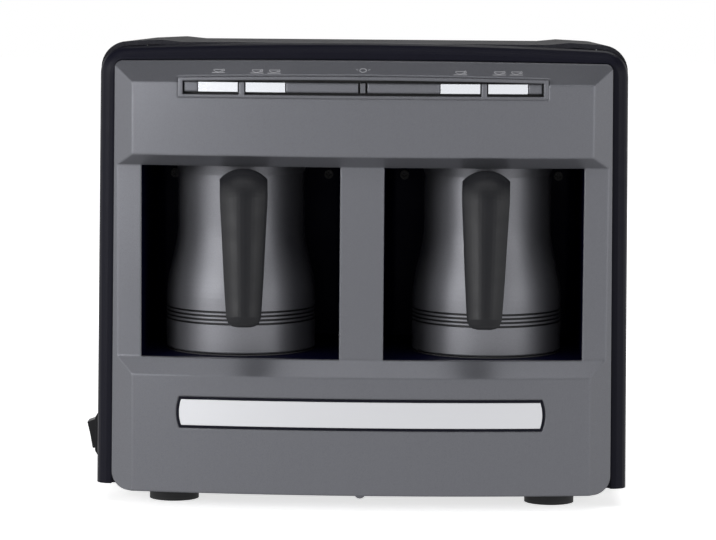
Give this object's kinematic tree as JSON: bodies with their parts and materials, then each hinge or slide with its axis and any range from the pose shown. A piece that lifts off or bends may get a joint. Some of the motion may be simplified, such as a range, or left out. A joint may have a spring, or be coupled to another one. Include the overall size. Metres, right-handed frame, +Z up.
{
  "type": "electric turkish coffee maker",
  "caption": "Tabletop electric Turkish coffee maker: bowed front, open bays with hotplates, loose jug-shaped pots with upright handles, button strip above and rocker switch at the side.",
  "frame": {"origin": "on the table, at the centre of the four feet", "axes": "+Z up; the front with its bays and buttons faces -Y; +X to the right seen from the front"},
  "size_m": [0.2835, 0.2444, 0.2418],
  "materials": {
    "panel_grey": "satin metallic grey lacquer on plastic",
    "rim_black": "satin black",
    "casing_black": "fine-grained black",
    "sheet_steel": "plain sheet",
    "inner_black": "matt black",
    "liner_black": "smooth blue-black, heat-proof",
    "lens_clear": "frosted light guide",
    "led_white": "moulded",
    "board_green": "circuit board with solder mask",
    "plate_silver": "satin silver",
    "button_chrome": "satin bright",
    "switch_black": "moulded",
    "brass": "plain blades",
    "relay_blue": "moulded cases",
    "transformer_yellow": "taped core",
    "capacitor_sleeve": "shrink sleeve",
    "block_white": "moulded",
    "foot_rubber": "matt rubber",
    "cable_grey": "flat cable",
    "screw_steel": "zinc-plated",
    "screw_black": "blackened",
    "seal_silicone": "silicone",
    "hotplate_dark": "dark non-stick coating",
    "heater_steel": "dull tube",
    "ceramic": "ceramic body",
    "pot_metal": "satin metallic grey",
    "handle_black": "satin black"
  },
  "bodies": {
    "appliance": {"front_panel": "panel_grey", "rim_frame": "rim_black", "rear_casing": "casing_black", "back_cover": "casing_black", "base_pan": "casing_black", "bulkhead": "sheet_steel", "foot_front_left": "foot_rubber", "foot_front_right": "foot_rubber", "foot_rear_left": "foot_rubber", "foot_rear_right": "foot_rubber", "base_screws": "screw_steel", "cover_screws": "screw_steel", "panel_screws": "screw_steel", "button_bezel": "panel_grey", "button_shroud": "inner_black", "strip_blanks": "panel_grey", "light_lens": "lens_clear", "control_board": "board_green", "key_switches": "inner_black", "status_led": "led_white", "board_screws": "screw_steel", "plate_bezel": "rim_black", "trim_plate": "plate_silver", "bay_liner_left": "liner_black", "bay_liner_right": "liner_black", "liner_screws": "screw_black", "hotplate_left": "hotplate_dark", "hotplate_right": "hotplate_dark", "hotplate_seal_left": "seal_silicone", "hotplate_seal_right": "seal_silicone", "hotplate_carrier_left": "sheet_steel", "hotplate_carrier_right": "sheet_steel", "heater_left": "heater_steel", "heater_right": "heater_steel", "thermostat_left": "ceramic", "thermostat_right": "ceramic", "boil_sensor_left": "inner_black", "boil_sensor_right": "inner_black", "switch_housing": "switch_black", "switch_terminals": "brass", "power_board": "board_green", "relays": "relay_blue", "transformer": "transformer_yellow", "capacitors": "capacitor_sleeve", "terminal_block": "block_white", "cord_gland": "foot_rubber", "ribbon_cable": "cable_grey"},
    "pot_left": {"pot_body_left": "pot_metal", "pot_handle_left": "handle_black", "handle_bracket_left": "sheet_steel", "handle_screws_left": "screw_steel"},
    "pot_right": {"pot_body_right": "pot_metal", "pot_handle_right": "handle_black", "handle_bracket_right": "sheet_steel", "handle_screws_right": "screw_steel"},
    "button_left_one_cup": {"button_left_one_cup": "button_chrome"},
    "button_left_two_cups": {"button_left_two_cups": "button_chrome"},
    "button_right_one_cup": {"button_right_one_cup": "button_chrome"},
    "button_right_two_cups": {"button_right_two_cups": "button_chrome"},
    "switch_rocker": {"switch_rocker": "switch_black"}
  },
  "joints": [
    {"name": "pot_left_lift_out", "type": "slide", "parent": "appliance", "child": "pot_left", "axis": [0, -1, 0], "range_m": [0, 0.16]},
    {"name": "pot_right_lift_out", "type": "slide", "parent": "appliance", "child": "pot_right", "axis": [0, -1, 0], "range_m": [0, 0.16]},
    {"name": "press_left_one_cup", "type": "slide", "parent": "appliance", "child": "button_left_one_cup", "axis": [0, 1, 0], "range_m": [0, 0.0006], "stiffness_N_per_m": 500, "springref_m": -0.001},
    {"name": "press_left_two_cups", "type": "slide", "parent": "appliance", "child": "button_left_two_cups", "axis": [0, 1, 0], "range_m": [0, 0.0006], "stiffness_N_per_m": 500, "springref_m": -0.001},
    {"name": "press_right_one_cup", "type": "slide", "parent": "appliance", "child": "button_right_one_cup", "axis": [0, 1, 0], "range_m": [0, 0.0006], "stiffness_N_per_m": 500, "springref_m": -0.001},
    {"name": "press_right_two_cups", "type": "slide", "parent": "appliance", "child": "button_right_two_cups", "axis": [0, 1, 0], "range_m": [0, 0.0006], "stiffness_N_per_m": 500, "springref_m": -0.001},
    {"name": "power_rocker", "type": "hinge", "parent": "appliance", "child": "switch_rocker", "pos_m": [-0.1388, -0.064, 0.0338], "axis": [0, 1, 0], "range_deg": [0, 24]}
  ]
}
